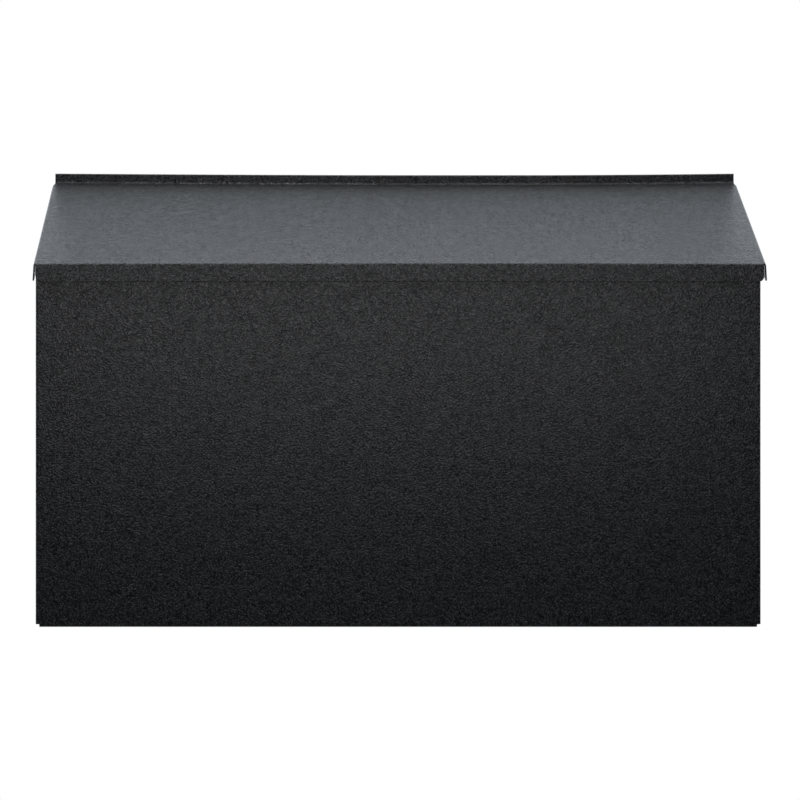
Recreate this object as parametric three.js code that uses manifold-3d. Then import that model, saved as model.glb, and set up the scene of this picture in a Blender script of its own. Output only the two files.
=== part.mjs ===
// A wall mounted mailbox of painted sheet steel: a folded case, a sloped lid on a continuous hinge
// along its rear edge, the rivets that hold the case together and the two rubber bumpers that the lid
// comes down on. Millimetres, +Z up. The wall is the plane y = 0 and the front faces -Y. Heights are
// counted from the underside of the case; the exported group's own origin is the middle of the four
// mounting holes, on the wall.
import * as THREE from "three";
import { mergeVertices } from "three/addons/utils/BufferGeometryUtils.js";
import Module from "manifold-3d";

const wasm = await Module();
wasm.setup();

// Sheet steel.
const SHEET = 0.9;
const BEND = 0.6; // inside radius of a fold
const FOLD = BEND + SHEET; // outside radius of a fold
const FOLD_STEPS = 4; // facets round a fold
const GAP = 0.3; // clearance between two sheets that lie side by side
const WELD_GAP = 0.15; // space left between two sheets that are welded face to face

// Overall sizes.
const CASE_WIDTH = 381; // 15 in
const FRONT_HEIGHT = 190.5; // 7.5 in, underside to the lid's front fold
const REAR_HEIGHT = 241.3; // 9.5 in, underside to the lid's rear fold
const LID_RUN = 101.6; // 4 in, plan depth of the sloped top
const ORIGIN_HEIGHT = 120.65; // underside to the middle of the mounting holes

// Continuous hinge.
const LEAF = 0.8;
const PIN_RADIUS = 1;
const BORE_RADIUS = 1.2;
const KNUCKLE_RADIUS = BORE_RADIUS + LEAF;
const KNUCKLES = 15;
const KNUCKLE_GAP = 0.4;
const HINGE_LENGTH = 374;
const PIN_LENGTH = HINGE_LENGTH + 0.8;
const HINGE_Y = -(SHEET + WELD_GAP + KNUCKLE_RADIUS);
const HINGE_Z = REAR_HEIGHT + 2.6;
const LEAF_DEPTH = 15; // from the pin's middle down to a leaf's lower edge
const BARREL_SIDES = 12; // half the facets round the barrel

// Lid.
const LID_OFFSET = 0.8; // the lid is welded to its hinge leaf this far to the right of the middle
const LID_HALF = 191.1; // half the length of its front lip and rear flange
const LIP_HEIGHT = 9.1;
const LIP_CORNER = 2.5;
const LIP_SLACK = 0.8; // space between the lip and the case front
const HINGE_SLACK = 0.25; // space between the knuckles and the lid's rear leg
const FLANGE_TOP = REAR_HEIGHT + 5.2;
const LEG_BOTTOM = HINGE_Z - LEAF_DEPTH + 0.5;
const LEG_HALF = 186.5;
const SKIRT_HALF = 192.3; // half the width over the lid's side skirts, at their top
const SKIRT_DEPTH = 9;
const SKIRT_FLARE = 0.45; // how far the lower edge of a skirt stands outwards
const SKIRT_SETBACK = 0.83; // from the lip's face back to the skirts' front ends
const SKIRT_LAP = 2; // how far a skirt's section runs on into the slope
const REAR_CLIP = 2.8; // how far in front of the rear flange the skirts stop and the corners are clipped
const LEG_NOTCH = 1.2; // the leg behind the flange is full width this far below the rear fold and above
const LID_REST = 2; // space under the closed lid, where the bumpers are

// Where the lid lies, from the wall forwards.
const LEG_REAR = HINGE_Y - KNUCKLE_RADIUS - HINGE_SLACK;
const FLANGE_FRONT = LEG_REAR - 2 * SHEET;
const LIP_FRONT = FLANGE_FRONT - LID_RUN;
const SLOPE = (REAR_HEIGHT - FRONT_HEIGHT) / LID_RUN;
const SLOPE_ANGLE = Math.atan(SLOPE);
const UPRIGHT = Math.hypot(1, SLOPE); // height of one unit of thickness of a sloped sheet
const lidTop = (y) => FRONT_HEIGHT + SLOPE * (y - LIP_FRONT);
const caseTop = (y) => lidTop(y) - (SHEET + LID_REST) * UPRIGHT;

// Case.
const CASE_FRONT = LIP_FRONT + SHEET + LIP_SLACK;
const CASE_HALF = CASE_WIDTH / 2;
const WING_TOP = 238.6; // where the side walls' sloped edge levels off, in front of the hinge
const FOLD_RELIEF = 2; // how far the bottom and the top flange stop short of the sides
const TOP_FLANGE = 12;
const WEEP_HOLES = [-120, 120];
const WEEP_ROWS = [-90, -25];
const WEEP_RADIUS = 2;

// Back panel, a pan whose flanges lie inside the case.
const PAN_HALF = CASE_HALF - SHEET - GAP;
const PAN_BOTTOM = SHEET + GAP;
const PAN_FLANGE = 12;
const PAN_FLANGE_TOP = 236;
const PAN_TOP = 243;
const PAN_RELIEF = 3.3;
const MOUNT_X = 152.4; // 12 in between the columns of mounting holes
const MOUNT_Z = 76.2; // 6 in between the rows
const SCREW_RADIUS = 2.4;

// Rivets.
const RIVET_Y = -7.5;
const RIVET_RADIUS = 1.6;
const RIVET_HOLE = 1.8;
const RIVET_HEAD_RADIUS = 3.2;
const RIVET_HEAD = 1;
const RIVET_TAIL_RADIUS = 2.4;
const RIVET_TAIL = 2.4;
const RIVET_SLACK = 0.1;
const RIVET_GRIP = 2 * SHEET + GAP;
const SIDE_RIVET_HEIGHTS = [30, 95, 160, 222];
const BOTTOM_RIVET_PLACES = [-150, -50, 50, 150];
const ROUND_SIDES = 14;

// Bumpers.
const BUMPER_X = 150;
const BUMPER_RADIUS = 4.5;
const BUMPER_HEIGHT = 1.4;
const BUMPER_ALONG = 6.5; // from the case's front top edge, up the slope
const BUMPER_SEAT = 0.3;

const MARGIN = 1; // how far a cutter runs past what it cuts

const ORIGIN_2D = new THREE.Vector2(0, 0);
const at = (a, b) => new THREE.Vector2(a, b);
const leftOf = (run) => at(-run.y, run.x);

// The two sides of a sheet folded at `corners`, which are points of one face. The sheet lies to the
// left of that face where `side` is 1, and to the right where it is -1.
function foldedSheet(corners, side) {
  const runs = corners.slice(1).map((corner, i) => corner.clone().sub(corners[i]).normalize());
  const face = [];
  const back = [];
  corners.forEach((corner, i) => {
    const before = runs[i - 1];
    const after = runs[i];
    if (!before || !after) {
      face.push(corner.clone());
      back.push(corner.clone().addScaledVector(leftOf(before ?? after), side * SHEET));
      return;
    }
    const turn = Math.atan2(before.cross(after), before.dot(after));
    const sense = Math.sign(turn);
    const faceRadius = sense === side ? FOLD : BEND;
    const backRadius = FOLD + BEND - faceRadius;
    const reach = faceRadius * Math.tan(Math.abs(turn) / 2);
    const centre = corner.clone().addScaledVector(before, -reach);
    centre.addScaledVector(leftOf(before), sense * faceRadius);
    for (let step = 0; step <= FOLD_STEPS; step += 1) {
      const radial = leftOf(before).multiplyScalar(-sense);
      radial.rotateAround(ORIGIN_2D, (turn * step) / FOLD_STEPS);
      face.push(centre.clone().addScaledVector(radial, faceRadius));
      back.push(centre.clone().addScaledVector(radial, backRadius));
    }
  });
  return { face, back };
}

function sheetOutline(corners, side) {
  const { face, back } = foldedSheet(corners, side);
  return new THREE.Shape([...face, ...back.reverse()]);
}

// A closed geometry as a solid that can be joined and cut.
function solid(geometry) {
  geometry.deleteAttribute("normal");
  geometry.deleteAttribute("uv");
  const merged = mergeVertices(geometry, 1e-5);
  return new wasm.Manifold(
    new wasm.Mesh({
      numProp: 3,
      vertProperties: merged.attributes.position.array,
      triVerts: new Uint32Array(merged.index.array),
    }),
  );
}

function extrude(shape, depth, curveSegments) {
  return new THREE.ExtrudeGeometry(shape, { depth, bevelEnabled: false, curveSegments });
}

// Outlines drawn in (y, z), (x, z) and (x, y), drawn out along the third axis.
function alongX(shape, from, to, curveSegments = FOLD_STEPS) {
  const turned = new THREE.Matrix4().set(0, 0, 1, from, 1, 0, 0, 0, 0, 1, 0, 0, 0, 0, 0, 1);
  return solid(extrude(shape, to - from, curveSegments).applyMatrix4(turned));
}

function alongY(shape, from, to, curveSegments = FOLD_STEPS) {
  const turned = new THREE.Matrix4().set(1, 0, 0, 0, 0, 0, -1, to, 0, 1, 0, 0, 0, 0, 0, 1);
  return solid(extrude(shape, to - from, curveSegments).applyMatrix4(turned));
}

function alongZ(shape, from, to) {
  return solid(extrude(shape, to - from, FOLD_STEPS).translate(0, 0, from));
}

function block(x, y, z) {
  const size = [x, y, z].map(([low, high]) => high - low);
  const middle = [x, y, z].map(([low, high]) => (low + high) / 2);
  return solid(new THREE.BoxGeometry(...size).translate(...middle));
}

// A round cutter through a sheet, `reach` long each way from its middle.
function drill(axis, radius, x, y, z, reach = 2) {
  const bit = new THREE.CylinderGeometry(radius, radius, 2 * reach, ROUND_SIDES);
  if (axis === "x") bit.rotateZ(Math.PI / 2);
  if (axis === "z") bit.rotateX(Math.PI / 2);
  return solid(bit.translate(x, y, z));
}

function geometryOf(body) {
  const { vertProperties, triVerts } = body.getMesh();
  const indexed = new THREE.BufferGeometry();
  indexed.setAttribute("position", new THREE.BufferAttribute(vertProperties, 3));
  indexed.setIndex(new THREE.BufferAttribute(triVerts, 1));
  const geometry = indexed.toNonIndexed();
  geometry.computeVertexNormals();
  return geometry;
}

// The holes that the rivets pass through, shared by the case and the back panel.
function rivetHoles() {
  const holes = [];
  for (const z of SIDE_RIVET_HEIGHTS) {
    for (const x of [-PAN_HALF, PAN_HALF]) {
      holes.push(drill("x", RIVET_HOLE, x, RIVET_Y, z));
    }
  }
  for (const x of BOTTOM_RIVET_PLACES) {
    holes.push(drill("z", RIVET_HOLE, x, RIVET_Y, PAN_BOTTOM));
  }
  return holes;
}

const without = (body, cutters) => cutters.reduce((left, cutter) => left.subtract(cutter), body);
const joined = (bodies) => bodies.reduce((sum, body) => sum.add(body));

// Front, sides, bottom and top flange, folded from one blank.
function frontShell() {
  const rearEdge = -GAP;
  const aroundFront = sheetOutline(
    [
      at(-CASE_HALF, rearEdge),
      at(-CASE_HALF, CASE_FRONT),
      at(CASE_HALF, CASE_FRONT),
      at(CASE_HALF, rearEdge),
    ],
    1,
  );
  const frontTop = caseTop(CASE_FRONT);
  const levelFrom = CASE_FRONT + (WING_TOP - frontTop) / SLOPE;
  const foldStart = frontTop - FOLD * Math.tan(Math.PI / 4 - SLOPE_ANGLE / 2);
  const sideOutline = new THREE.Shape([
    at(CASE_FRONT - MARGIN, FOLD),
    at(MARGIN, FOLD),
    at(MARGIN, WING_TOP),
    at(levelFrom, WING_TOP),
    at(CASE_FRONT + FOLD, caseTop(CASE_FRONT + FOLD)),
    at(CASE_FRONT + FOLD, foldStart),
    at(CASE_FRONT - MARGIN, foldStart),
  ]);
  const walls = alongZ(aroundFront, 0, REAR_HEIGHT).intersect(alongX(sideOutline, -CASE_WIDTH, CASE_WIDTH));
  const flangeEnd = CASE_FRONT + TOP_FLANGE / UPRIGHT;
  const overFront = sheetOutline(
    [
      at(rearEdge, 0),
      at(CASE_FRONT, 0),
      at(CASE_FRONT, frontTop),
      at(flangeEnd, caseTop(flangeEnd)),
    ],
    -1,
  );
  const front = alongX(overFront, -CASE_HALF + FOLD_RELIEF, CASE_HALF - FOLD_RELIEF);
  const weepHoles = WEEP_HOLES.flatMap((x) => WEEP_ROWS.map((y) => drill("z", WEEP_RADIUS, x, y, 0)));
  return without(walls.add(front), [...rivetHoles(), ...weepHoles]);
}

// The back panel with its side and bottom flanges, and the mounting holes.
function backPanel() {
  const acrossPan = sheetOutline(
    [at(-PAN_HALF, -PAN_FLANGE), at(-PAN_HALF, 0), at(PAN_HALF, 0), at(PAN_HALF, -PAN_FLANGE)],
    -1,
  );
  const sides = alongZ(acrossPan, PAN_BOTTOM + FOLD, PAN_FLANGE_TOP);
  const upPan = sheetOutline([at(-PAN_FLANGE, PAN_BOTTOM), at(0, PAN_BOTTOM), at(0, PAN_TOP)], 1);
  const plate = alongX(upPan, -PAN_HALF + PAN_RELIEF, PAN_HALF - PAN_RELIEF);
  const holes = [-MOUNT_X, MOUNT_X].flatMap((x) => [
    drill("y", SCREW_RADIUS, x, 0, ORIGIN_HEIGHT + MOUNT_Z),
    drill("y", SCREW_RADIUS, x, 0, ORIGIN_HEIGHT - MOUNT_Z),
  ]);
  return without(sides.add(plate), [...rivetHoles(), ...holes]);
}

// The lid's sheet from the front lip over the slope to the rear flange, which is folded back down into
// a leg that the hinge is welded to.
function lidSheet() {
  const { face, back } = foldedSheet(
    [
      at(LIP_FRONT, FRONT_HEIGHT - LIP_HEIGHT),
      at(LIP_FRONT, FRONT_HEIGHT),
      at(FLANGE_FRONT, REAR_HEIGHT),
      at(FLANGE_FRONT, FLANGE_TOP - SHEET),
    ],
    -1,
  );
  const hemCentre = at(FLANGE_FRONT + SHEET, FLANGE_TOP - SHEET);
  const hem = [];
  for (let step = 1; step <= 2 * FOLD_STEPS; step += 1) {
    const angle = Math.PI * (1 - step / (2 * FOLD_STEPS));
    hem.push(at(hemCentre.x + SHEET * Math.cos(angle), hemCentre.y + SHEET * Math.sin(angle)));
  }
  const leg = [at(LEG_REAR, LEG_BOTTOM), at(LEG_REAR - SHEET, LEG_BOTTOM)];
  const underside = back.slice(0, -1).reverse();
  const outline = new THREE.Shape([...face, ...hem, ...leg, ...underside]);
  const lipBottom = FRONT_HEIGHT - LIP_HEIGHT;
  const frame = new THREE.Shape();
  frame.moveTo(-LID_HALF, FLANGE_TOP + MARGIN);
  frame.lineTo(-LID_HALF, lipBottom + LIP_CORNER);
  frame.absarc(-LID_HALF + LIP_CORNER, lipBottom + LIP_CORNER, LIP_CORNER, Math.PI, 1.5 * Math.PI);
  frame.absarc(LID_HALF - LIP_CORNER, lipBottom + LIP_CORNER, LIP_CORNER, 1.5 * Math.PI, 2 * Math.PI);
  frame.lineTo(LID_HALF, FLANGE_TOP + MARGIN);
  const sheet = alongX(outline, -LID_HALF - MARGIN, LID_HALF + MARGIN);
  const trimmed = sheet.intersect(alongY(frame, LIP_FRONT - MARGIN, MARGIN));
  const legEnds = [-1, 1].map((side) => {
    const reach = [side * LEG_HALF, side * (LID_HALF + MARGIN)].sort((a, b) => a - b);
    return block(reach, [LEG_REAR - 1.3 * SHEET, 0], [LEG_BOTTOM - MARGIN, REAR_HEIGHT - LEG_NOTCH]);
  });
  return without(trimmed, legEnds);
}

// One of the lid's side skirts with the fold above it, drawn level and then sheared to the slope of
// the lid.
function lidSkirt(side) {
  const foldCentre = SKIRT_HALF - FOLD;
  const thickness = SHEET * UPRIGHT;
  const section = new THREE.Shape();
  section.moveTo(foldCentre - SKIRT_LAP, 0);
  section.lineTo(foldCentre, 0);
  section.absarc(foldCentre, -FOLD, FOLD, Math.PI / 2, 0, true);
  section.lineTo(SKIRT_HALF + SKIRT_FLARE, -SKIRT_DEPTH);
  section.lineTo(SKIRT_HALF + SKIRT_FLARE - SHEET, -SKIRT_DEPTH);
  section.absarc(foldCentre, -thickness - BEND, BEND, 0, Math.PI / 2);
  section.lineTo(foldCentre - SKIRT_LAP, -thickness);
  const level = alongY(section, LIP_FRONT + SKIRT_SETBACK, FLANGE_FRONT - FOLD);
  const turned = side < 0 ? level.mirror([1, 0, 0]) : level;
  return turned.transform([1, 0, 0, 0, 0, 1, SLOPE, 0, 0, 0, 1, 0, 0, 0, lidTop(0), 1]);
}

// What is cut away at a rear corner of the lid: the skirt beside the flange, and the corner of the
// slope above it.
function rearCornerCuts(side) {
  const clipFront = FLANGE_FRONT - REAR_CLIP;
  const outside = side * (SKIRT_HALF + MARGIN);
  const corner = new THREE.Shape([
    at(side * SKIRT_HALF, clipFront),
    at(outside, clipFront),
    at(outside, FLANGE_FRONT),
    at(side * LID_HALF, FLANGE_FRONT),
  ]);
  const underLid = (y) => lidTop(y) - SHEET * UPRIGHT;
  const below = new THREE.Shape([
    at(clipFront, FRONT_HEIGHT),
    at(0, FRONT_HEIGHT),
    at(0, underLid(0)),
    at(clipFront, underLid(clipFront)),
  ]);
  const skirtEnd = [side * LID_HALF, outside].sort((a, b) => a - b);
  return [alongZ(corner, FRONT_HEIGHT, FLANGE_TOP), alongX(below, ...skirtEnd)];
}

function lid() {
  const sheet = joined([lidSheet(), lidSkirt(-1), lidSkirt(1)]);
  return without(sheet, [...rearCornerCuts(-1), ...rearCornerCuts(1)]);
}

// One leaf of the continuous hinge: a plate, and every second knuckle along the pin.
function hingeLeaf(plateRear, firstKnuckle) {
  const plate = [plateRear - LEAF, plateRear];
  const half = HINGE_LENGTH / 2;
  const plateTop = HINGE_Z - KNUCKLE_RADIUS - GAP;
  const pitch = HINGE_LENGTH / KNUCKLES;
  const ring = new THREE.Shape().absarc(HINGE_Y, HINGE_Z, KNUCKLE_RADIUS, 0, 2 * Math.PI);
  ring.holes.push(new THREE.Path().absarc(HINGE_Y, HINGE_Z, BORE_RADIUS, 0, 2 * Math.PI));
  const pieces = [block([-half, half], plate, [HINGE_Z - LEAF_DEPTH, plateTop])];
  for (let knuckle = firstKnuckle; knuckle < KNUCKLES; knuckle += 2) {
    const from = -half + knuckle * pitch + KNUCKLE_GAP / 2;
    const to = from + pitch - KNUCKLE_GAP;
    pieces.push(block([from, to], plate, [plateTop - MARGIN, HINGE_Z]));
    pieces.push(alongX(ring, from, to, BARREL_SIDES));
  }
  return joined(pieces);
}

// A blind rivet: domed head, shank, and the tail that is drawn up on the inside. Its axis is Y, head
// upwards, and the head's underside is just above y = 0.
function rivetGeometry() {
  const tailTop = -RIVET_GRIP - RIVET_SLACK;
  const profile = [
    at(0, tailTop - RIVET_TAIL),
    at(RIVET_RADIUS, tailTop - RIVET_TAIL),
    at(RIVET_TAIL_RADIUS, tailTop - 0.7 * RIVET_TAIL),
    at(RIVET_TAIL_RADIUS, tailTop),
    at(RIVET_RADIUS, tailTop),
    at(RIVET_RADIUS, RIVET_SLACK),
    at(RIVET_HEAD_RADIUS, RIVET_SLACK),
    at(0.85 * RIVET_HEAD_RADIUS, RIVET_SLACK + 0.6 * RIVET_HEAD),
    at(0.5 * RIVET_HEAD_RADIUS, RIVET_SLACK + 0.9 * RIVET_HEAD),
    at(0, RIVET_SLACK + RIVET_HEAD),
  ];
  return new THREE.LatheGeometry(profile, ROUND_SIDES);
}

// A rubber bumper: a low round button with a rounded upper edge. Its axis is Y.
function bumperGeometry() {
  const profile = [
    at(0, 0),
    at(BUMPER_RADIUS, 0),
    at(BUMPER_RADIUS, 0.4 * BUMPER_HEIGHT),
    at(0.85 * BUMPER_RADIUS, 0.85 * BUMPER_HEIGHT),
    at(0.6 * BUMPER_RADIUS, BUMPER_HEIGHT),
    at(0, BUMPER_HEIGHT),
  ];
  return new THREE.LatheGeometry(profile, ROUND_SIDES);
}

const paint = () => new THREE.MeshStandardMaterial({ color: 0x232427, roughness: 0.42, metalness: 0 });
const steel = () => new THREE.MeshStandardMaterial({ color: 0x9a9da1, roughness: 0.35, metalness: 1 });
const rubber = () => new THREE.MeshStandardMaterial({ color: 0x161616, roughness: 0.85, metalness: 0 });

const fixed = new THREE.Group();
const moving = new THREE.Group();

function place(group, name, geometry, material) {
  const mesh = new THREE.Mesh(geometry, material);
  mesh.name = name;
  group.add(mesh);
  return mesh;
}

place(fixed, "front_shell", geometryOf(frontShell()), paint());
place(fixed, "back_panel", geometryOf(backPanel()), paint());
place(fixed, "hinge_leaf_case", geometryOf(hingeLeaf(-SHEET - WELD_GAP, 0)), paint());
place(moving, "lid", geometryOf(lid()), paint()).position.x = LID_OFFSET;
place(moving, "hinge_leaf_lid", geometryOf(hingeLeaf(HINGE_Y - KNUCKLE_RADIUS + LEAF, 1)), paint());

const pinGeometry = new THREE.CylinderGeometry(PIN_RADIUS, PIN_RADIUS, PIN_LENGTH, 2 * BARREL_SIDES);
const pin = place(fixed, "hinge_pin", pinGeometry, steel());
pin.rotation.z = Math.PI / 2;
pin.position.set(0, HINGE_Y, HINGE_Z);

for (const side of [-1, 1]) {
  const label = side < 0 ? "left" : "right";
  SIDE_RIVET_HEIGHTS.forEach((height, i) => {
    const rivet = place(fixed, `side_rivet_${label}_${i + 1}`, rivetGeometry(), paint());
    rivet.rotation.z = (-side * Math.PI) / 2;
    rivet.position.set(side * CASE_HALF, RIVET_Y, height);
  });
  const bumper = place(fixed, `lid_bumper_${label}`, bumperGeometry(), rubber());
  const bumperY = CASE_FRONT + BUMPER_ALONG / UPRIGHT;
  bumper.rotation.x = Math.PI / 2 + SLOPE_ANGLE;
  bumper.position.set(side * BUMPER_X, bumperY, caseTop(bumperY) + BUMPER_SEAT * UPRIGHT);
}

BOTTOM_RIVET_PLACES.forEach((x, i) => {
  const rivet = place(fixed, `bottom_rivet_${i + 1}`, rivetGeometry(), paint());
  rivet.rotation.x = -Math.PI / 2;
  rivet.position.set(x, RIVET_Y, 0);
});

const assembly = new THREE.Group();
assembly.position.z = -ORIGIN_HEIGHT;
assembly.add(fixed, moving);

const mailbox = new THREE.Group();
mailbox.add(assembly);
export default mailbox;
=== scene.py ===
import math

import bmesh
import bpy
from mathutils import Matrix, Vector


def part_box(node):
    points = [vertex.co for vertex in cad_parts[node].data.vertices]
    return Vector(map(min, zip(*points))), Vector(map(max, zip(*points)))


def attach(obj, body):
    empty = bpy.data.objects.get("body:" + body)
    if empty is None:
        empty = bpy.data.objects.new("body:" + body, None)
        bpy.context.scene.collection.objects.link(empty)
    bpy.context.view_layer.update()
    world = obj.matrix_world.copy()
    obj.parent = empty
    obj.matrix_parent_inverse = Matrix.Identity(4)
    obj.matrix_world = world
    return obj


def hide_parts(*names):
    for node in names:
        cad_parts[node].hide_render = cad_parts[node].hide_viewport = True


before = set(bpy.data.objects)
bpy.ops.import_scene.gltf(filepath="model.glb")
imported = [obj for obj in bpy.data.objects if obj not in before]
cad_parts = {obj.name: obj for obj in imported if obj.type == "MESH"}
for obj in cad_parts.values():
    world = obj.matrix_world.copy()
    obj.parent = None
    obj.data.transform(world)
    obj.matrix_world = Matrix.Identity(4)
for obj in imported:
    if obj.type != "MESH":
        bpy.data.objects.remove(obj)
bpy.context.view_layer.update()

# ---- Sizes. Metres, in the frame's own axes: the wall is y = 0, the front faces -Y and Z is up. ----
MM = 0.001
SHEET = 0.9 * MM
BEND = 0.6 * MM  # inside radius of a fold
FOLD = BEND + SHEET  # outside radius of a fold
FOLD_STEPS = 8
PAINT_EDGE = 0.2 * MM  # how far the paint rounds a cut edge
LONGEST_STEP = 9 * MM  # between two points of a sheet's grid
SAME = 0.001 * MM  # places closer than this are the same
CUTTER_DEPTH = 6 * MM  # through any sheet

shell_low, shell_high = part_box("front_shell")
pan_low, pan_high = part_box("back_panel")
lid_low, lid_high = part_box("lid")
pin_low, pin_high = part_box("hinge_pin")

# Lid.
LIP_HEIGHT = 9.1 * MM
LIP_CORNER = 2.5 * MM
FLANGE_RISE = 5.2 * MM
REAR_BEND = 2.2 * MM  # outside radius of the fold at the foot of the rear flange
SKIRT_DEPTH = 9 * MM
SKIRT_FLARE = 0.45 * MM
SKIRT_FOLD = 1.25 * MM
SKIRT_SETBACK = 0.83 * MM  # from the lip's face back to the skirts' front ends
SKIRT_STEPS = 3  # down a skirt, under its fold
REAR_CLIP = 2.8 * MM  # how far in front of the rear flange the skirts stop
HEM_SHEET = 0.85 * MM  # the lid's sheet, a little thinner so that its closed hem keeps a seam
LEG_DEPTH = 14.5 * MM  # from the hinge's axis down to the end of the leg behind the rear flange
LEG_RELIEF = 4.6 * MM  # how far the leg stops short of the lid's ends
LEG_NOTCH = 1.2 * MM  # the leg behind the flange is full width down to this far below the rear fold
REAR_SAG = 0.95 * MM  # the rear flange hangs this much below its ends
SAG_SKEW = 0.2  # how far to the right of the middle it hangs most, as a share of half the width
FRONT_CROWN = 0.3 * MM  # the middle of the front fold stands this much above its ends

lid_middle = (lid_low.x + lid_high.x) / 2
skirt_half = (lid_high.x - lid_low.x) / 2 - SKIRT_FLARE
lid_half = skirt_half - SKIRT_FOLD
lip_front = lid_low.y
lip_bottom = lid_low.z
front_fold = lip_bottom + LIP_HEIGHT
leg_rear = lid_high.y
flange_front = leg_rear - 2 * SHEET
flange_top = lid_high.z
rear_fold = flange_top - FLANGE_RISE
clip_front = flange_front - REAR_CLIP
leg_top = rear_fold - LEG_NOTCH
slope = (rear_fold - front_fold) / (flange_front - lip_front)
slope_angle = math.atan(slope)
upright = math.hypot(1, slope)

# Case.
LID_REST = 2 * MM  # under the closed lid
TOP_FLANGE = 12 * MM
FOLD_RELIEF = 2 * MM  # how far the bottom and the top flange stop short of the sides
RELIEF_STEP = 0.5 * MM  # over which a side wall's edge rises from its corner to the slope
FRONT_BOW = 0.15 * MM  # how far the middle of the front stands out
WEEP_RADIUS = 2 * MM
WEEP_HOLES = [(x * MM, y * MM) for x in (-120, 120) for y in (-90, -25)]

case_half = shell_high.x
case_front = shell_low.y
case_rear = shell_high.y
underside = shell_low.z
wing_top = shell_high.z

# Back panel.
PAN_RELIEF = 3.3 * MM  # how far its bottom flange stops short of its sides
PAN_FLANGE_TOP = 236 * MM
MOUNT_X = 152.4 * MM
MOUNT_Z = 76.2 * MM
SCREW_RADIUS = 2.4 * MM

# Hinge.
LEAF = 0.8 * MM
LEAF_EDGE = 0.1 * MM  # how far the paint rounds a leaf's edge
KNUCKLES = 15
KNUCKLE_GAP = 0.4 * MM
KNUCKLE_RADIUS = 2 * MM
SLOT_DEPTH = 0.3 * MM  # how far the slots between knuckles reach below the barrel
CURL = math.radians(300)
CURL_STEPS = 30
PIN_CHAMFER = 0.25 * MM
hinge_y = (pin_low.y + pin_high.y) / 2
hinge_z = (pin_low.z + pin_high.z) / 2

# Rivets.
RIVET_RADIUS = 1.6 * MM
RIVET_HOLE = 1.8 * MM
RIVET_HEAD = 1 * MM
RIVET_HEAD_RADIUS = 3.2 * MM
RIVET_RIM = 0.12 * MM  # the upright edge of the head, under its dome
RIVET_TAIL = 2.4 * MM
RIVET_TAIL_RADIUS = 2.4 * MM
MANDREL_DIMPLE = 0.9 * MM
SIDE_RIVETS = [f"side_rivet_{side}_{k}" for side in ("left", "right") for k in range(1, 5)]
BOTTOM_RIVETS = [f"bottom_rivet_{k}" for k in range(1, 5)]

# Bumpers.
BUMPER_RADIUS = 4.5 * MM
BUMPER_HEIGHT = 1.4 * MM
BUMPER_EDGE = 0.5 * MM
BUMPER_FOOT = 0.15 * MM
BUMPER_ARC_STEPS = 4
BUMPER_DISH = [(1.6 * MM, 0), (1.2 * MM, 0.2 * MM), (0, 0.25 * MM)]  # radius, and depth below the top


def lid_top(y):
    return front_fold + slope * (y - lip_front)


def case_top(y):
    return lid_top(y) - (SHEET + LID_REST) * upright


# ---- Lines and sheets ----
def left_of(run):
    return Vector((-run.y, run.x))


def turned_by(spoke, angle):
    return Matrix.Rotation(angle, 2) @ spoke


def folded(corners, radii, steps=FOLD_STEPS):
    """A line through `corners`, with each inner corner rounded to its radius."""
    corners = [Vector(corner) for corner in corners]
    points = [corners[0]]
    for last, corner, following, radius in zip(corners, corners[1:], corners[2:], radii):
        before = (corner - last).normalized()
        after = (following - corner).normalized()
        turn = math.atan2(before.x * after.y - before.y * after.x, before.dot(after))
        side = left_of(before) * math.copysign(1, turn)
        centre = corner - before * radius * math.tan(abs(turn) / 2) + side * radius
        points += [centre - turned_by(side, turn * k / steps) * radius for k in range(steps + 1)]
    return points + [corners[-1]]


def round_turn(centre, spoke, turn, steps):
    """Points on a circle about `centre`, from the end of `spoke` and on round by `turn`."""
    return [Vector(centre) + turned_by(Vector(spoke), turn * k / steps) for k in range(1, steps + 1)]


def spaced(points, longest=LONGEST_STEP):
    """The same line, with points added so that no step is longer than `longest`."""
    line = [points[0]]
    for a, b in zip(points, points[1:]):
        steps = max(1, math.ceil(((b - a).length - SAME) / longest))
        line += [a.lerp(b, k / steps) for k in range(1, steps + 1)]
    return line


def columns(stops):
    """Places along X that include every stop."""
    line = spaced([Vector((x, 0)) for x in sorted(stops)])
    return [point.x for point in line]


def mesh_of(name, points, faces):
    """A mesh from a dictionary of points and faces that name them, without the points that no face uses."""
    used = sorted({key for face in faces for key in face})
    number = {key: i for i, key in enumerate(used)}
    numbered_faces = [[number[key] for key in face] for face in faces]
    mesh = bpy.data.meshes.new(name)
    mesh.from_pydata([points[key] for key in used], [], numbered_faces)
    mesh.validate()
    obj = bpy.data.objects.new(name, mesh)
    bpy.context.scene.collection.objects.link(obj)
    return obj


def grid_faces(rows, places, keep=lambda i, j: True):
    """The quads of a grid of points named (i, j), facing the side from which j runs right and i runs up."""
    return [
        [(i, j), (i, j + 1), (i + 1, j + 1), (i + 1, j)]
        for i in range(rows - 1)
        for j in range(places - 1)
        if keep(i, j)
    ]


def keep_result(obj):
    """Replaces an object's mesh with what its modifiers make of it."""
    evaluated = obj.evaluated_get(bpy.context.evaluated_depsgraph_get())
    mesh = bpy.data.meshes.new_from_object(evaluated)
    obj.modifiers.clear()
    obj.data = mesh


def thicken(obj, thickness=SHEET):
    solidify = obj.modifiers.new("thickness", "SOLIDIFY")
    solidify.thickness = thickness
    solidify.offset = -1
    solidify.use_even_offset = True
    keep_result(obj)


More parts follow.
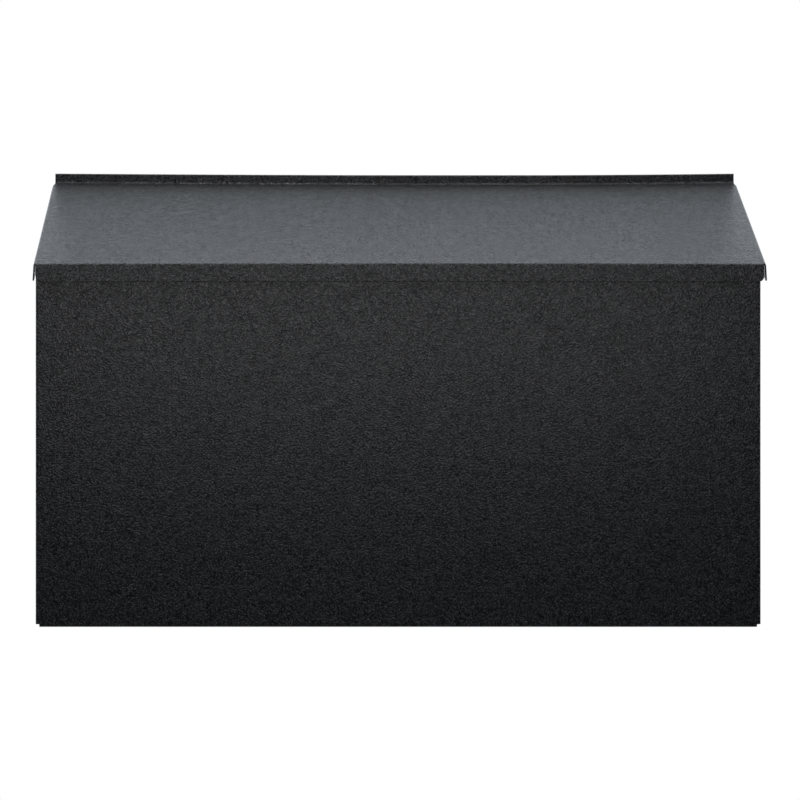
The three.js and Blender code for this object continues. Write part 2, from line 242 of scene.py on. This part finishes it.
def drill(obj, holes, sides=32):
    """Cuts round holes, each an axis, a centre and a radius, right through a sheet."""
    turn_to = {
        "x": Matrix.Rotation(math.pi / 2, 4, "Y"),
        "y": Matrix.Rotation(math.pi / 2, 4, "X"),
        "z": Matrix(),
    }
    cutters = bmesh.new()
    for axis, centre, radius in holes:
        bmesh.ops.create_cone(
            cutters,
            cap_ends=True,
            segments=sides,
            radius1=radius,
            radius2=radius,
            depth=CUTTER_DEPTH,
            matrix=Matrix.Translation(centre) @ turn_to[axis],
        )
    cutter = bpy.data.objects.new("cutter", bpy.data.meshes.new("cutter"))
    cutters.to_mesh(cutter.data)
    cutters.free()
    bpy.context.scene.collection.objects.link(cutter)
    boolean = obj.modifiers.new("holes", "BOOLEAN")
    boolean.operation = "DIFFERENCE"
    boolean.solver = "EXACT"
    boolean.object = cutter
    keep_result(obj)
    bpy.data.objects.remove(cutter)


def finish_edges(obj, width=PAINT_EDGE, angle=50):
    """Rounds the cut edges as paint does, and shades the folds smooth and the flats flat."""
    bevel = obj.modifiers.new("paint_edge", "BEVEL")
    bevel.width = width
    bevel.segments = 2
    bevel.limit_method = "ANGLE"
    bevel.angle_limit = math.radians(angle)
    bevel.use_clamp_overlap = True
    keep_result(obj)
    for polygon in obj.data.polygons:
        polygon.use_smooth = True
    weighted = obj.modifiers.new("flat_shading_on_flats", "WEIGHTED_NORMAL")
    weighted.keep_sharp = True
    weighted.weight = 90


def stand_for(obj, body, node, material):
    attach(obj, body)
    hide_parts(node)
    obj.data.materials.clear()
    obj.data.materials.append(material)
    return obj


# ---- Case ----
def middle_of(node):
    low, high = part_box(node)
    return (low + high) / 2


def rivet_holes():
    side = [("x", middle_of(node), RIVET_HOLE) for node in SIDE_RIVETS]
    return side + [("z", middle_of(node), RIVET_HOLE) for node in BOTTOM_RIVETS]


def wrapped_sheet(name, across, up, half_middle, side_rows, side_top):
    """A sheet folded both ways from one blank.

    `across` is its line in plan and `up` its line seen from the side. The columns within `half_middle` of the
    middle follow `up`. The others stand on `across` between the two heights `side_rows`, stretched to reach
    side_top(y).
    """
    low, high = side_rows
    upright_y = next(y for y, z in up if abs(z - low) < SAME)
    is_middle = [abs(x) < half_middle + SAME for x, _ in across]
    is_upright = [low - SAME < z < high + SAME and abs(y - upright_y) < SAME for y, z in up]
    points = {}
    for i, (y, z) in enumerate(up):
        for j, (x, plan_y) in enumerate(across):
            share = (z - low) / (high - low)
            side_z = low + share * (side_top(plan_y) - low)
            points[i, j] = (x, y, z) if is_middle[j] else (x, plan_y, side_z)

    def keep(i, j):
        return (is_middle[j] and is_middle[j + 1]) or (is_upright[i] and is_upright[i + 1])

    return mesh_of(name, points, grid_faces(len(up), len(across), keep))


def front_plan():
    """The case's line in plan, from one side's rear edge round the front to the other's."""
    level_from = case_front + (wing_top - case_top(case_front)) / slope
    corners = [
        (-case_half, case_rear),
        (-case_half, case_front),
        (case_half, case_front),
        (case_half, case_rear),
    ]
    line = folded(corners, [FOLD, FOLD])
    middle = len(line) // 2
    level_left, level_right = [Vector((side * case_half, level_from)) for side in (-1, 1)]
    step_y = case_front + FOLD + RELIEF_STEP
    step_left, step_right = [Vector((side * case_half, step_y)) for side in (-1, 1)]
    reliefs = [Vector((side * (case_half - FOLD_RELIEF), case_front)) for side in (-1, 1)]
    left_side = [line[0], level_left, step_left]
    front = line[1:middle] + reliefs + line[middle:-1]
    right_side = [step_right, level_right, line[-1]]
    return spaced(left_side + front + right_side)


def front_shell(material):
    flange_end = case_front + TOP_FLANGE / upright
    corners = [
        (case_rear, underside),
        (case_front, underside),
        (case_front, case_top(case_front)),
        (flange_end, case_top(flange_end)),
    ]
    up = spaced(folded(corners, [FOLD, FOLD]))
    fold_start = case_top(case_front) - FOLD * math.tan(math.pi / 4 - slope_angle / 2)

    def side_top(y):
        if y < case_front + FOLD + SAME:
            return fold_start
        return min(case_top(y), wing_top)

    side_rows = (underside + FOLD, fold_start)
    obj = wrapped_sheet("case_shell", front_plan(), up, case_half - FOLD_RELIEF, side_rows, side_top)
    for vertex in obj.data.vertices:
        x, y, z = vertex.co
        if y < case_front + SAME:
            share = min(max((z - underside) / (fold_start - underside), 0), 1)
            vertex.co.y -= FRONT_BOW * math.cos(math.pi * x / (2 * case_half)) * math.sin(math.pi * share)
    thicken(obj)
    weep_holes = [("z", Vector((x, y, underside)), WEEP_RADIUS) for x, y in WEEP_HOLES]
    drill(obj, rivet_holes() + weep_holes)
    finish_edges(obj)
    return stand_for(obj, "case", "front_shell", material)


def back_panel(material):
    half = pan_high.x
    middle = half - PAN_RELIEF
    front = pan_low.y
    across = folded([(half, front), (half, 0), (-half, 0), (-half, front)], [FOLD, FOLD])
    stops = [Vector((side * middle, 0)) for side in (1, -1)]
    cut = len(across) // 2
    across = across[:cut] + stops + across[cut:]
    sides_top = underside + PAN_FLANGE_TOP
    up = folded([(front, pan_low.z), (0, pan_low.z), (0, sides_top)], [FOLD])
    up.append(Vector((0, pan_high.z)))
    side_rows = (pan_low.z + FOLD, sides_top)
    obj = wrapped_sheet("back_pan", spaced(across), spaced(up), middle, side_rows, lambda y: sides_top)
    thicken(obj)
    places = [Vector((x, 0, z)) for x in (-MOUNT_X, MOUNT_X) for z in (-MOUNT_Z, MOUNT_Z)]
    screw_holes = [("y", place, SCREW_RADIUS) for place in places]
    drill(obj, rivet_holes() + screw_holes)
    finish_edges(obj)
    for vertex in obj.data.vertices:
        vertex.co.y = min(vertex.co.y, 0)  # the wall is at y = 0
    return stand_for(obj, "case", "back_panel", material)


# ---- Lid ----
def lid_line():
    """The lid's outer face from the lip over the slope and the rear flange, and down the leg behind it."""
    corners = [
        (lip_front, lip_bottom),
        (lip_front, front_fold),
        (flange_front, rear_fold),
        (flange_front, flange_top - SHEET),
    ]
    over = folded(corners, [FOLD, REAR_BEND])
    clip_row = next(i for i, point in enumerate(over) if point.x > clip_front)
    over.insert(clip_row, Vector((clip_front, lid_top(clip_front))))
    hem = round_turn((flange_front + SHEET, flange_top - SHEET), (-SHEET, 0), -math.pi, 2 * FOLD_STEPS)
    leg = [Vector((leg_rear, leg_top)), Vector((leg_rear, hinge_z - LEG_DEPTH))]
    return spaced(over + hem + leg)


def lid_sag(x, y):
    """How far the lid's sheet stands above its true line: crowned along its front, sagging along its rear."""
    share = min(max((y - lip_front) / (flange_front - lip_front), 0), 1)
    across = (x - lid_middle) / lid_half
    crown = 1 - across**2
    sag = 1 - (across - SAG_SKEW * crown) ** 2
    return FRONT_CROWN * crown * (1 - share) - REAR_SAG * sag * share * share


def lip_lift(x, z):
    """How far a point of the lip is lifted to round the lip's lower corners."""
    beyond = max(abs(x) - (lid_half - LIP_CORNER), 0)
    rounded = LIP_CORNER - math.sqrt(max(LIP_CORNER**2 - beyond**2, 0))
    return max(rounded * (front_fold - FOLD - z) / (LIP_HEIGHT - FOLD), 0)


def skirt_section():
    """A skirt's outline, as distances out from the lid's middle and heights above its slope."""
    angles = [math.pi / 2 * k / FOLD_STEPS for k in range(FOLD_STEPS + 1)]
    fold = [(lid_half + SKIRT_FOLD * math.sin(a), -SKIRT_FOLD * (1 - math.cos(a))) for a in angles]
    shares = [k / SKIRT_STEPS for k in range(1, SKIRT_STEPS + 1)]
    depth = SKIRT_DEPTH - SKIRT_FOLD
    return fold + [(skirt_half + SKIRT_FLARE * share, -SKIRT_FOLD - depth * share) for share in shares]


def add_skirt(points, faces, line, edge, side):
    """Hangs a skirt on the column `edge` of the lid's grid, as more columns towards `side`."""
    skirt_front = lip_front + SKIRT_SETBACK
    rows = [i for i, (y, z) in enumerate(line) if skirt_front - SAME < y < clip_front + SAME]
    section = skirt_section()
    new_faces = []
    for i in rows:
        y, z = line[i]
        for k, (out, rise) in enumerate(section[1:], start=1):
            points[i, edge + side * k] = (lid_middle + side * out, y, z + rise)
    for i, following in zip(rows, rows[1:]):
        for k in range(len(section) - 1):
            inner = edge + side * k
            outer = inner + side
            new_faces.append([(i, inner), (i, outer), (following, outer), (following, inner)])
    for k in range(FOLD_STEPS):
        inner = edge + side * k
        new_faces.append([(rows[-1], inner), (rows[-1], inner + side), (rows[-1] + 1, edge)])
    faces += new_faces if side > 0 else [face[::-1] for face in new_faces]


def lid(material):
    line = lid_line()
    leg_half = lid_half - LEG_RELIEF
    sines = [math.sin(math.pi / 2 * k / FOLD_STEPS) for k in range(FOLD_STEPS + 1)]
    rounding = [lid_half - LIP_CORNER + LIP_CORNER * sine for sine in sines]
    places = columns([-x for x in reversed(rounding)] + [-leg_half, leg_half] + rounding)
    points = {}
    for i, (y, z) in enumerate(line):
        for j, x in enumerate(places):
            lift = lip_lift(x, z) if y < lip_front + SAME else 0
            points[i, j] = (lid_middle + x, y, z + lift + lid_sag(lid_middle + x, y))
    leg_from = next(i for i, (y, z) in enumerate(line) if y > leg_rear - SAME and z < leg_top + SAME)

    def keep(i, j):
        return i < leg_from or max(abs(places[j]), abs(places[j + 1])) < leg_half + SAME

    faces = grid_faces(len(line), len(places), keep)
    add_skirt(points, faces, line, 0, -1)
    add_skirt(points, faces, line, len(places) - 1, 1)
    obj = mesh_of("lid_sheet", points, faces)
    thicken(obj, HEM_SHEET)
    finish_edges(obj)
    return stand_for(obj, "lid", "lid", material)


# ---- Hinge ----
def hinge_leaf(name, body, node, first_knuckle, side, material):
    """One leaf of the continuous hinge, with every second knuckle from `first_knuckle` on.

    Its plate stands in front of the pin (side -1) or behind it (side 1), and its knuckles are curled over the
    pin, each with a seam where the curl ends.
    """
    low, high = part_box(node)
    face = hinge_y + side * KNUCKLE_RADIUS
    plate_top = hinge_z - KNUCKLE_RADIUS - SLOT_DEPTH
    line = [Vector((face, low.z)), Vector((face, plate_top)), Vector((face, hinge_z))]
    line += round_turn((hinge_y, hinge_z), (side * KNUCKLE_RADIUS, 0), side * CURL, CURL_STEPS)
    pitch = (high.x - low.x) / KNUCKLES
    stops = [low.x]
    for k in range(1, KNUCKLES):
        joint = low.x + k * pitch
        stops += [joint - KNUCKLE_GAP / 2, joint + KNUCKLE_GAP / 2]
    stops.append(high.x)
    places = stops if side < 0 else stops[::-1]
    points = {(i, j): (x, y, z) for i, (y, z) in enumerate(line) for j, x in enumerate(places)}

    def keep(i, j):
        number = j // 2 if side < 0 else KNUCKLES - 1 - j // 2
        is_knuckle = j % 2 == 0 and number % 2 == first_knuckle
        return i == 0 or is_knuckle

    obj = mesh_of(name, points, grid_faces(len(line), len(places), keep))
    thicken(obj, LEAF)
    finish_edges(obj, width=LEAF_EDGE)
    return stand_for(obj, body, node, material)


# ---- Turned pieces ----
def turned(name, profile, place, sides=40):
    """A solid of revolution about Z, from (radius, height) points that run from pole to pole upwards."""
    points = {}
    faces = []
    for i, (radius, height) in enumerate(profile):
        ring = 1 if radius == 0 else sides
        for j in range(ring):
            angle = 2 * math.pi * j / sides
            points[i, j] = place @ Vector((radius * math.cos(angle), radius * math.sin(angle), height))
    for i in range(len(profile) - 1):
        for j in range(sides):
            following = (j + 1) % sides
            low = [(i, 0)] if profile[i][0] == 0 else [(i, j), (i, following)]
            high = [(i + 1, 0)] if profile[i + 1][0] == 0 else [(i + 1, following), (i + 1, j)]
            faces.append(low + high)
    obj = mesh_of(name, points, faces)
    for polygon in obj.data.polygons:
        polygon.use_smooth = True
    obj.data.set_sharp_from_angle(angle=math.radians(50))
    return obj


def facing(direction):
    """A turn that takes +Z to `direction`."""
    return Vector(direction).to_track_quat("Z", "Y").to_matrix().to_4x4()


def dome(radius, height, steps=8):
    """The outline of a low dome from its rim up to its middle."""
    angles = [math.pi / 2 * k / steps for k in range(steps)]
    return [(radius * math.cos(a), height * math.sin(a)) for a in angles] + [(0, height)]


def rivet(node, outwards, material):
    """A blind rivet with its pulled mandrel left as a small plug in a dimple of the head."""
    low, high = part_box(node)
    outwards = Vector(outwards)
    length = abs((high - low).dot(outwards))
    seat = length - RIVET_HEAD
    head = dome(RIVET_HEAD_RADIUS, RIVET_HEAD - RIVET_RIM)
    rim = [(radius, seat + RIVET_RIM + rise) for radius, rise in head if radius > MANDREL_DIMPLE]
    tail = [
        (0, 0),
        (0.9 * MM, 0),
        (1.5 * MM, 0.25 * MM),
        (RIVET_TAIL_RADIUS - 0.2 * MM, 0.6 * MM),
        (RIVET_TAIL_RADIUS, 1.1 * MM),
        (RIVET_TAIL_RADIUS, RIVET_TAIL - 0.4 * MM),
        (RIVET_TAIL_RADIUS - 0.3 * MM, RIVET_TAIL),
    ]
    shank = [(RIVET_RADIUS, RIVET_TAIL), (RIVET_RADIUS, seat), (RIVET_HEAD_RADIUS, seat)]
    plug = [
        (MANDREL_DIMPLE, rim[-1][1] - 0.02 * MM),
        (0.75 * MM, seat + 0.55 * MM),
        (0.6 * MM, seat + 0.55 * MM),
        (0.55 * MM, seat + 0.7 * MM),
        (0, seat + 0.72 * MM),
    ]
    place = Matrix.Translation(middle_of(node) - outwards * length / 2) @ facing(outwards)
    obj = turned(node + "_turned", tail + shank + rim + plug, place)
    return stand_for(obj, "case", node, material)


def hinge_pin(material):
    radius = (pin_high.z - pin_low.z) / 2
    length = pin_high.x - pin_low.x
    start = [(0, 0), (radius - PIN_CHAMFER, 0), (radius, PIN_CHAMFER)]
    end = [(radius, length - PIN_CHAMFER), (radius - PIN_CHAMFER, length), (0, length)]
    place = Matrix.Translation((pin_low.x, hinge_y, hinge_z)) @ facing((1, 0, 0))
    return stand_for(turned("hinge_wire", start + end, place), "case", "hinge_pin", material)


def bumper(node, material):
    """A rubber button with a rounded edge and a shallow dish in its top."""
    normal = Vector((0, -math.sin(slope_angle), math.cos(slope_angle)))
    foot = [(0, 0), (BUMPER_RADIUS - BUMPER_FOOT, 0), (BUMPER_RADIUS, BUMPER_FOOT)]
    angles = [math.pi / 2 * k / BUMPER_ARC_STEPS for k in range(BUMPER_ARC_STEPS + 1)]
    edge = [
        (BUMPER_RADIUS - BUMPER_EDGE * (1 - math.cos(a)), BUMPER_HEIGHT - BUMPER_EDGE * (1 - math.sin(a)))
        for a in angles
    ]
    dish = [(radius, BUMPER_HEIGHT - depth) for radius, depth in BUMPER_DISH]
    place = Matrix.Translation(middle_of(node) - normal * BUMPER_HEIGHT / 2) @ facing(normal)
    obj = turned(node + "_turned", foot + edge + dish, place)
    return stand_for(obj, "case", node, material)


# ---- Materials ----
RANGE_INPUTS = ("From Min", "From Max", "To Min", "To Max")


class Nodes:
    """A material's node tree, built by name."""

    def __init__(self, name):
        self.material = bpy.data.materials.new(name)
        self.material.use_nodes = True
        self.tree = self.material.node_tree
        self.shader = self.tree.nodes["Principled BSDF"]
        self.place = self.add("ShaderNodeTexCoord").outputs["Object"]

    def add(self, kind, **settings):
        node = self.tree.nodes.new(kind)
        for key, value in settings.items():
            setattr(node, key, value)
        return node

    def link(self, a, b):
        self.tree.links.new(a, b)

    def noise(self, per_metre, detail=2.0, roughness=0.5, at=None):
        node = self.add("ShaderNodeTexNoise")
        node.inputs["Scale"].default_value = per_metre
        node.inputs["Detail"].default_value = detail
        node.inputs["Roughness"].default_value = roughness
        self.link(at or self.place, node.inputs["Vector"])
        return node

    def cells(self, per_metre, feature="F1", at=None, smoothness=0.6):
        node = self.add("ShaderNodeTexVoronoi", feature=feature)
        node.inputs["Scale"].default_value = per_metre
        if feature == "SMOOTH_F1":
            node.inputs["Smoothness"].default_value = smoothness
        self.link(at or self.place, node.inputs["Vector"])
        return node.outputs["Distance"]

    def math(self, operation, a, b):
        node = self.add("ShaderNodeMath", operation=operation)
        for socket, value in zip(node.inputs, (a, b)):
            if isinstance(value, (int, float)):
                socket.default_value = value
            else:
                self.link(value, socket)
        return node.outputs[0]

    def span(self, value, low, high, from_low=0.0, from_high=1.0):
        node = self.add("ShaderNodeMapRange")
        self.link(value, node.inputs["Value"])
        for key, number in zip(RANGE_INPUTS, (from_low, from_high, low, high)):
            node.inputs[key].default_value = number
        return node.outputs["Result"]

    def colours(self, value, dark, light):
        node = self.add("ShaderNodeMix", data_type="RGBA")
        self.link(value, node.inputs["Factor"])
        node.inputs["A"].default_value = (*dark, 1)
        node.inputs["B"].default_value = (*light, 1)
        return node.outputs["Result"]

    def warped(self, per_metre, amount):
        """The place pushed about by a noise, in metres."""
        noise = self.noise(per_metre)
        shift = self.add("ShaderNodeVectorMath", operation="MULTIPLY_ADD")
        self.link(noise.outputs["Color"], shift.inputs[0])
        shift.inputs[1].default_value = (amount,) * 3
        self.link(self.place, shift.inputs[2])
        return shift.outputs["Vector"]

    def bump(self, height, distance, after=None):
        node = self.add("ShaderNodeBump")
        node.inputs["Distance"].default_value = distance
        self.link(height, node.inputs["Height"])
        if after:
            self.link(after, node.inputs["Normal"])
        return node.outputs["Normal"]

    def set(self, **values):
        for key, value in values.items():
            socket = self.shader.inputs[key.replace("_", " ")]
            if isinstance(value, (int, float)):
                socket.default_value = value
            elif isinstance(value, tuple):
                socket.default_value = (*value, 1)
            else:
                self.link(value, socket)
        return self.material


def powder_coat():
    """Black powder coat with a fine leather grain: sharp little wrinkles about a millimetre apart. Its colour
    follows the real grain, darker in the pits as painted shade and lighter on the crests as painted
    highlight.
    """
    n = Nodes("powder_coat")
    warped = n.warped(480, 1.0 * MM)
    pebbles = n.cells(960, "SMOOTH_F1", warped, 0.3)
    wrinkles = n.noise(1340, 2, 0.6, warped).outputs["Fac"]
    grain = n.math("SUBTRACT", n.math("MULTIPLY", wrinkles, 1.3), n.math("MULTIPLY", pebbles, 0.7))
    waves = n.noise(60, 2).outputs["Fac"]
    normal = n.bump(grain, 0.32 * MM, n.bump(waves, 0.1 * MM))
    rubbed = n.noise(14, 4, 0.6).outputs["Fac"]
    height = n.span(grain, 0, 1, 0.24, 0.5)
    # Painted shade and highlight: the base colour runs from near black in the grain's pits to dark grey on
    # its crests.
    colour = n.colours(height, (0.0012, 0.0012, 0.0017), (0.0176, 0.0176, 0.0207))
    blotches = n.noise(330, 3, 0.65).outputs["Fac"]
    shine = n.math("ADD", n.span(height, 0.25, 0.53), n.span(blotches, 0.0, 0.2, 0.35, 0.65))
    rough = n.math("ADD", n.span(rubbed, 0.1, 0.15, 0.3, 0.7), n.math("MULTIPLY", wrinkles, 0.06))
    return n.set(Base_Color=colour, Roughness=rough, IOR=1.5, Specular_IOR_Level=shine, Normal=normal)


def smooth_paint(name):
    """The same paint where it runs out thin over rolled and turned steel."""
    n = Nodes(name)
    peel = n.noise(900, 3, 0.6).outputs["Fac"]
    cloud = n.noise(40, 3).outputs["Fac"]
    colour = n.colours(cloud, (0.010, 0.010, 0.011), (0.020, 0.020, 0.022))
    rough = n.span(cloud, 0.32, 0.46)
    return n.set(Base_Color=colour, Roughness=rough, IOR=1.5, Normal=n.bump(peel, 0.05 * MM))


def drawn_steel():
    """Drawn wire: fine lines along X."""
    n = Nodes("drawn_steel")
    stretch = n.add("ShaderNodeMapping")
    stretch.inputs["Scale"].default_value = (0.03, 1, 1)
    n.link(n.place, stretch.inputs["Vector"])
    lines = n.noise(4000, 3, 0.6, stretch.outputs["Vector"]).outputs["Fac"]
    colour = n.colours(lines, (0.36, 0.36, 0.37), (0.52, 0.53, 0.54))
    return n.set(
        Base_Color=colour,
        Metallic=1.0,
        Roughness=n.span(lines, 0.25, 0.42),
        Normal=n.bump(lines, 0.01 * MM),
    )


def rubber():
    """Matt black rubber, a little bloomed, with fine pores."""
    n = Nodes("bumper_rubber")
    bloom = n.noise(300, 4, 0.6).outputs["Fac"]
    pores = n.cells(2600)
    colour = n.colours(bloom, (0.008, 0.008, 0.008), (0.02, 0.02, 0.019))
    return n.set(Base_Color=colour, Roughness=n.span(bloom, 0.7, 0.9), Normal=n.bump(pores, 0.03 * MM))


# ---- Studio ----
FLOOR_DROP = 0.55  # from the frame's origin down to the floor
CAMERA = Vector((-39.5 * MM, -1479.7 * MM, 3.35 * MM))
CAMERA_LENS = 117.64  # on a sensor 36 mm wide
CAMERA_SHIFT = (0.0963, -0.0113)
BRIGHTEST = (0, 0.7, 0.714)  # towards the studio's brightest part: up and behind the object
SKY_RAMP = (0.05, 0.55, 0.0, 1.3)  # nearness to BRIGHTEST, and the strength that it turns into
SKY_COLOUR = (0.875, 0.935, 1.0, 1)
WHITE = (1, 1, 1, 1)
FLOOR_HALF = 12  # half the floor's width
FLOOR_COLOUR = (0.26, 0.26, 0.26, 1)  # as the lights see it


def studio_floor():
    """A floor as pale as the background, so that no edge shows between them."""
    ends = (-FLOOR_HALF, FLOOR_HALF)
    points = {(i, j): (x, y, -FLOOR_DROP) for i, y in enumerate(ends) for j, x in enumerate(ends)}
    floor = mesh_of("studio_floor", points, grid_faces(2, 2))
    material = bpy.data.materials.new("pale_floor")
    material.use_nodes = True
    tree = material.node_tree
    seen = tree.nodes.new("ShaderNodeEmission")
    seen.inputs["Color"].default_value = WHITE
    rays = tree.nodes.new("ShaderNodeLightPath")
    mix = tree.nodes.new("ShaderNodeMixShader")
    diffuse = tree.nodes["Principled BSDF"]
    diffuse.inputs["Base Color"].default_value = FLOOR_COLOUR
    diffuse.inputs["Roughness"].default_value = 0.9
    tree.links.new(rays.outputs["Is Camera Ray"], mix.inputs[0])
    tree.links.new(diffuse.outputs[0], mix.inputs[1])
    tree.links.new(seen.outputs[0], mix.inputs[2])
    tree.links.new(mix.outputs[0], tree.nodes["Material Output"].inputs["Surface"])
    floor.data.materials.append(material)


def surroundings():
    """A studio that is bright above and behind and dark in front. What the camera sees of it is white."""
    world = bpy.data.worlds.new("studio")
    bpy.context.scene.world = world
    world.use_nodes = True
    tree = world.node_tree
    tree.nodes.clear()
    direction = tree.nodes.new("ShaderNodeTexCoord")
    upwards = tree.nodes.new("ShaderNodeVectorMath")
    upwards.operation = "DOT_PRODUCT"
    upwards.inputs[1].default_value = BRIGHTEST
    tree.links.new(direction.outputs["Generated"], upwards.inputs[0])
    ramp = tree.nodes.new("ShaderNodeMapRange")
    ramp.interpolation_type = "SMOOTHSTEP"
    tree.links.new(upwards.outputs["Value"], ramp.inputs["Value"])
    for key, number in zip(RANGE_INPUTS, SKY_RAMP):
        ramp.inputs[key].default_value = number
    dim = tree.nodes.new("ShaderNodeBackground")
    tree.links.new(ramp.outputs["Result"], dim.inputs["Strength"])
    dim.inputs["Color"].default_value = SKY_COLOUR
    white = tree.nodes.new("ShaderNodeBackground")
    rays = tree.nodes.new("ShaderNodeLightPath")
    white.inputs["Color"].default_value = WHITE
    white.inputs["Strength"].default_value = 1.0
    mix = tree.nodes.new("ShaderNodeMixShader")
    tree.links.new(rays.outputs["Is Camera Ray"], mix.inputs[0])
    tree.links.new(dim.outputs[0], mix.inputs[1])
    tree.links.new(white.outputs[0], mix.inputs[2])
    output = tree.nodes.new("ShaderNodeOutputWorld")
    tree.links.new(mix.outputs[0], output.inputs["Surface"])


def softbox(name, place, target, width, height, power):
    """A rectangular lamp at `place` that faces `target`."""
    light = bpy.data.lights.new(name, "AREA")
    light.shape = "RECTANGLE"
    light.size = width
    light.size_y = height
    light.energy = power
    obj = bpy.data.objects.new(name, light)
    bpy.context.scene.collection.objects.link(obj)
    obj.location = place
    obj.rotation_euler = (Vector(target) - Vector(place)).to_track_quat("-Z", "Y").to_euler()


def camera():
    data = bpy.data.cameras.new("camera")
    data.sensor_width = 36
    data.lens = CAMERA_LENS
    data.shift_x, data.shift_y = CAMERA_SHIFT
    data.clip_end = 50
    obj = bpy.data.objects.new("camera", data)
    bpy.context.scene.collection.objects.link(obj)
    obj.location = CAMERA
    obj.rotation_euler = (math.pi / 2, 0, 0)
    bpy.context.scene.camera = obj


camera()
surroundings()
softbox("front_strip", (-0.02, -0.29, 0.075), (-0.02, -0.1, 0.0), width=0.5, height=0.14, power=0.31)
softbox("overhead", (-0.02, -0.3, 0.75), (-0.02, -0.05, 0.1), width=0.6, height=0.3, power=1.6)
studio_floor()
bpy.context.scene.view_settings.view_transform = "Standard"

coat = powder_coat()
front_shell(coat)
back_panel(coat)
lid(coat)
hinge_paint = smooth_paint("hinge_paint")
hinge_leaf("hinge_leaf_on_case", "case", "hinge_leaf_case", 0, 1, hinge_paint)
hinge_leaf("hinge_leaf_on_lid", "lid", "hinge_leaf_lid", 1, -1, hinge_paint)
hinge_pin(drawn_steel())
rivet_paint = smooth_paint("rivet_paint")
for rivet_node in SIDE_RIVETS:
    rivet(rivet_node, (-1 if "left" in rivet_node else 1, 0, 0), rivet_paint)
for rivet_node in BOTTOM_RIVETS:
    rivet(rivet_node, (0, 0, -1), rivet_paint)
bumper_rubber = rubber()
for bumper_node in ("lid_bumper_left", "lid_bumper_right"):
    bumper(bumper_node, bumper_rubber)
